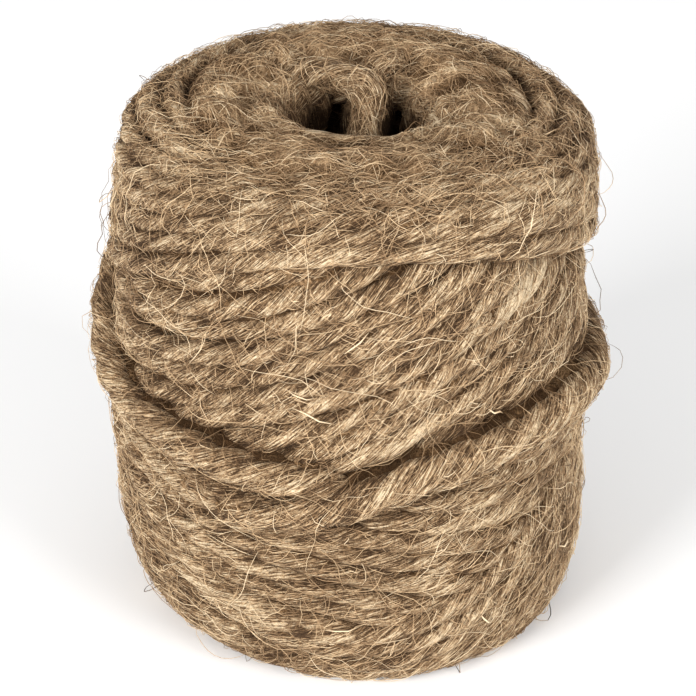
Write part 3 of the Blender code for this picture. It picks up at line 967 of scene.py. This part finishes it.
def matted_body(material, crests, mat):
    """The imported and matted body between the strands: one closed skin round the whole section."""
    past_mouth = SKIN.top_inner + MAT_ROWS_PAST_MOUTH
    rows_at = np.concatenate([
        np.linspace(SKIN.low, MAT_ROWS_FROM, MAT_ROWS_IN_HOLE[0], endpoint=False),
        np.arange(MAT_ROWS_FROM, past_mouth, MAT_ROW),
        np.linspace(past_mouth, SKIN.high, MAT_ROWS_IN_HOLE[1])[1:-1],
    ])
    az = np.arange(MAT_COLUMNS) * 360.0 / MAT_COLUMNS
    grid_az, grid_t = np.meshgrid(az, rows_at, indexing="ij")
    rng = np.random.default_rng(SEED + 5)
    height = mat.read(grid_az, grid_t) + MAT_ROUGHNESS * rng.normal(size=grid_az.shape)
    verts = SKIN.place(grid_az, grid_t, height)
    verts[..., 2] = np.maximum(verts[..., 2], MAT_FLOOR_GAP)
    # The mat's tone is the painted shade of the gaps, pits and hole, with blotches
    tone = -MAT_PAINTED_SHADE * painted_shade_and_blotches(crests, grid_az, grid_t, height)
    rows = len(rows_at)
    i, j = np.meshgrid(np.arange(MAT_COLUMNS), np.arange(rows), indexing="ij")
    right, up = (i + 1) % MAT_COLUMNS, (j + 1) % rows
    quads = np.stack([i * rows + j, right * rows + j, right * rows + up, i * rows + up], -1).reshape(-1, 4)
    piece = mesh_object("matted_body", verts.reshape(-1, 3), quads, [], material, tone=tone.ravel())
    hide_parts(SPOOL)


# The fibres' colours, from dark brown to pale blond
COLOURS = (
    (0.070, 0.036, 0.015), (0.215, 0.124, 0.058), (0.395, 0.252, 0.134),
    (0.640, 0.450, 0.258), (0.830, 0.655, 0.430),
)

# Lines of matted fibres in the shaders: turns of the patterns that cross, cell of a pattern in
# metres, bend of the lines in metres and its scale, and how narrow the lines are
LINE_TURNS = ((0.3, 0.2, 0.0), (1.3, 0.5, 0.9), (0.6, 1.4, 2.0), (1.7, 0.9, 0.4))
LINE_CELL = (0.00055, 0.00055, 0.0060)
LINE_BEND, LINE_BEND_SCALE = 0.004, 260.0
LINE_NARROWNESS = 9.0
# How much painted shade a strand's grooves get, and the lines' share in its relief and in the mat's tone
GROOVE_PAINTED_SHADE = 0.22
LINE_RELIEF = 0.45
LINE_TONE = 0.60
STRAND_BUMP = 0.70
MAT_BUMP = 0.4


def shader_tree(name, roughness, specular):
    """A new material, its node tree, and its shader with a roughness and a specular level."""
    material = bpy.data.materials.new(name)
    material.use_nodes = True
    shader = material.node_tree.nodes["Principled BSDF"]
    shader.inputs["Roughness"].default_value = roughness
    shader.inputs["Specular IOR Level"].default_value = specular
    return material, material.node_tree, shader


def node(tree, kind, **settings):
    made = tree.nodes.new(kind)
    for key, value in settings.items():
        setattr(made, key, value)
    return made


def noise_texture(tree, vector, **sockets):
    """A noise texture that reads a vector, with its sockets' values by name."""
    made = node(tree, "ShaderNodeTexNoise")
    for key, value in sockets.items():
        made.inputs[key].default_value = value
    tree.links.new(vector, made.inputs["Vector"])
    return made.outputs


def colour_by(tree, shader, level, places):
    """Colours a shader by a level, with the five colours at these places from 0 to 1."""
    ramp = node(tree, "ShaderNodeValToRGB")
    elements = ramp.color_ramp.elements
    while len(elements) < len(COLOURS):
        elements.new(0.5)
    for element, place, colour in zip(elements, places, COLOURS):
        element.position = place
        element.color = (*colour, 1.0)
    tree.links.new(level, ramp.inputs["Fac"])
    tree.links.new(ramp.outputs["Color"], shader.inputs["Base Color"])


def math_node(tree, operation, *inputs):
    made = node(tree, "ShaderNodeMath", operation=operation)
    for socket, value in zip(made.inputs, inputs):
        if isinstance(value, (int, float)):
            socket.default_value = value
        else:
            tree.links.new(value, socket)
    return made.outputs[0]


def scaled(tree, value, gain, offset):
    return math_node(tree, "MULTIPLY_ADD", value, gain, offset)


def add(tree, first, *others):
    for other in others:
        first = math_node(tree, "ADD", first, other)
    return first


def attribute(tree, name):
    return node(tree, "ShaderNodeAttribute", attribute_name=name, attribute_type="GEOMETRY").outputs


def add_bump(tree, shader, height, distance):
    """Relief on a shader, of a distance in mm."""
    bump = node(tree, "ShaderNodeBump")
    bump.inputs["Strength"].default_value = 1.0
    bump.inputs["Distance"].default_value = distance * MM
    tree.links.new(height, bump.inputs["Height"])
    tree.links.new(bump.outputs["Normal"], shader.inputs["Normal"])


def matted_lines(tree):
    """A pattern of thin curved lines that cross, as matted fibres do, from 0 between to 1 on them."""
    place = node(tree, "ShaderNodeTexCoord").outputs["Object"]
    bent = node(tree, "ShaderNodeVectorMath", operation="MULTIPLY_ADD")
    tree.links.new(noise_texture(tree, place, Scale=LINE_BEND_SCALE)["Color"], bent.inputs[0])
    bent.inputs[1].default_value = (LINE_BEND,) * 3
    tree.links.new(place, bent.inputs[2])
    lines = None
    for turn in LINE_TURNS:
        turned = node(tree, "ShaderNodeMapping", vector_type="TEXTURE")
        turned.inputs["Rotation"].default_value = turn
        turned.inputs["Scale"].default_value = LINE_CELL
        tree.links.new(bent.outputs["Vector"], turned.inputs["Vector"])
        noise = noise_texture(tree, turned.outputs["Vector"], Scale=1.0, Detail=1.0)["Fac"]
        off_middle = math_node(tree, "ABSOLUTE", math_node(tree, "SUBTRACT", noise, 0.5))
        line = math_node(tree, "MAXIMUM", scaled(tree, off_middle, gain=-LINE_NARROWNESS, offset=1.0), 0.0)
        lines = line if lines is None else math_node(tree, "MAXIMUM", lines, line)
    return lines


def strand_material():
    """Jute plies: fine streaks along the fibres, mottled light and dark, with painted shade in the
    grooves.
    """
    material, tree, shader = shader_tree("jute_strand", roughness=0.85, specular=0.2)
    fibre = attribute(tree, "fibre")["Vector"]
    fine = noise_texture(tree, fibre, Scale=4.8, Detail=2.5, Roughness=0.75)["Fac"]
    broad = noise_texture(tree, fibre, Scale=1.3, Detail=2.0)["Fac"]
    groove, tone = attribute(tree, "groove")["Fac"], attribute(tree, "tone")["Fac"]
    lines = matted_lines(tree)
    level = add(
        tree, tone,
        scaled(tree, fine, gain=4.4, offset=-2.24),
        scaled(tree, broad, gain=0.6, offset=-0.30),
        # Painted shade in the grooves between plies
        scaled(tree, groove, gain=-GROOVE_PAINTED_SHADE, offset=0.0),
        scaled(tree, lines, gain=0.50, offset=-0.25),
    )
    colour_by(tree, shader, level, (0.0, 0.25, 0.55, 0.85, 1.0))
    add_bump(tree, shader, add(tree, fine, math_node(tree, "MULTIPLY", lines, LINE_RELIEF)), STRAND_BUMP)
    return material


def fibre_material():
    """Loose fibres, from dark brown to blond, with painted shade in the tone of those on the pile."""
    material, tree, shader = shader_tree("jute_fibre", roughness=0.6, specular=0.25)
    colour_by(tree, shader, attribute(tree, "tone")["Fac"], (0.0, 0.3, 0.55, 0.8, 1.0))
    return material


def body_material():
    """The matted fibres between the strands, with painted shade of the gaps in their tone."""
    material, tree, shader = shader_tree("jute_matted", roughness=0.95, specular=0.1)
    place = node(tree, "ShaderNodeTexCoord").outputs["Object"]
    noise = noise_texture(tree, place, Scale=420.0, Detail=4.0, Roughness=0.7)["Fac"]
    lines = matted_lines(tree)
    level = add(
        tree, attribute(tree, "tone")["Fac"],
        scaled(tree, noise, gain=1.1, offset=-0.35),
        math_node(tree, "MULTIPLY", lines, LINE_TONE),
    )
    colour_by(tree, shader, level, (0.0, 0.3, 0.65, 0.95, 1.0))
    add_bump(tree, shader, add(tree, lines, noise), MAT_BUMP)
    return material


# The studio. Places and sizes in metres, powers in watts
FLOOR_HALF = 3.0
FLOOR_COLOUR = (0.93, 0.93, 0.93, 1.0)
WORLD_COLOUR = (1.0, 1.0, 1.0, 1.0)
WORLD_STRENGTH = 0.62
LIGHTS = (
    ("key", (-0.62, -0.72, 0.39), 0.45, 12.6),
    ("fill", (0.70, -0.65, 0.36), 0.5, 9.0),
    ("top", (0.1, 0.25, 0.95), 0.5, 0.3),
)

# The camera, from the outline of the spool in the photograph
CAMERA_ELEVATION = 30.0
CAMERA_DISTANCE = 575.9
CAMERA_LENS = 177.07
CAMERA_SENSOR = 36.0
CAMERA_ROLL = 0.009
CAMERA_SHIFT = (-0.00845, -0.00826)


def make_floor():
    material, _, shader = shader_tree("floor", roughness=0.9, specular=0.1)
    shader.inputs["Base Color"].default_value = FLOOR_COLOUR
    data = bpy.data.meshes.new("floor")
    corners = [(x * FLOOR_HALF, y * FLOOR_HALF, 0) for x, y in ((-1, -1), (1, -1), (1, 1), (-1, 1))]
    data.from_pydata(corners, [], [(0, 1, 2, 3)])
    data.materials.append(material)
    floor = add_object("floor", data)


def make_lights():
    """Square lamps turned to the spool's middle, in a white room."""
    middle = Vector((0.0, 0.0, HEIGHT / 2 * MM))
    for name, place, size, power in LIGHTS:
        data = bpy.data.lights.new(name, "AREA")
        data.shape = "SQUARE"
        data.size = size
        data.energy = power
        light = add_object(name, data)
        light.location = place
        light.rotation_euler = (middle - Vector(place)).to_track_quat("-Z", "Y").to_euler()
    world = bpy.data.worlds.new("studio")
    world.use_nodes = True
    background = world.node_tree.nodes["Background"]
    background.inputs["Color"].default_value = WORLD_COLOUR
    background.inputs["Strength"].default_value = WORLD_STRENGTH
    bpy.context.scene.world = world
    bpy.context.scene.view_settings.view_transform = "Standard"


def make_camera():
    data = bpy.data.cameras.new("camera")
    data.lens = CAMERA_LENS
    data.sensor_width = CAMERA_SENSOR
    data.shift_x, data.shift_y = CAMERA_SHIFT
    camera = add_object("camera", data)
    angle = math.radians(CAMERA_ELEVATION)
    back = Vector((0.0, -math.cos(angle), math.sin(angle)))
    middle = Vector((AXIS_X, 0.0, HEIGHT / 2))
    camera.location = (middle + back * CAMERA_DISTANCE) * MM
    turn = (-back).to_track_quat("-Z", "Y") @ Euler((0.0, 0.0, CAMERA_ROLL)).to_quaternion()
    camera.rotation_euler = turn.to_euler()
    bpy.context.scene.camera = camera


make_camera()
make_lights()
make_floor()
strands = lay_strands(np.random.default_rng(SEED))
mat = mat_map()
crests = crest_map(mat)
jute = strand_material()
rng = np.random.default_rng(SEED + 1)
for name, members in strands.items():
    if name == "loose_turn":
        strand_piece(name, rng, members, jute, crests, mat, LOOSE_LAY, LOOSE_PLY_CENTRE)
    else:
        strand_piece(name, rng, members, jute, crests, mat)
matted_body(body_material(), crests, mat)
make_fibres([strands["loose_turn"][-1], strands["top_turns"][-1]], crests, mat)
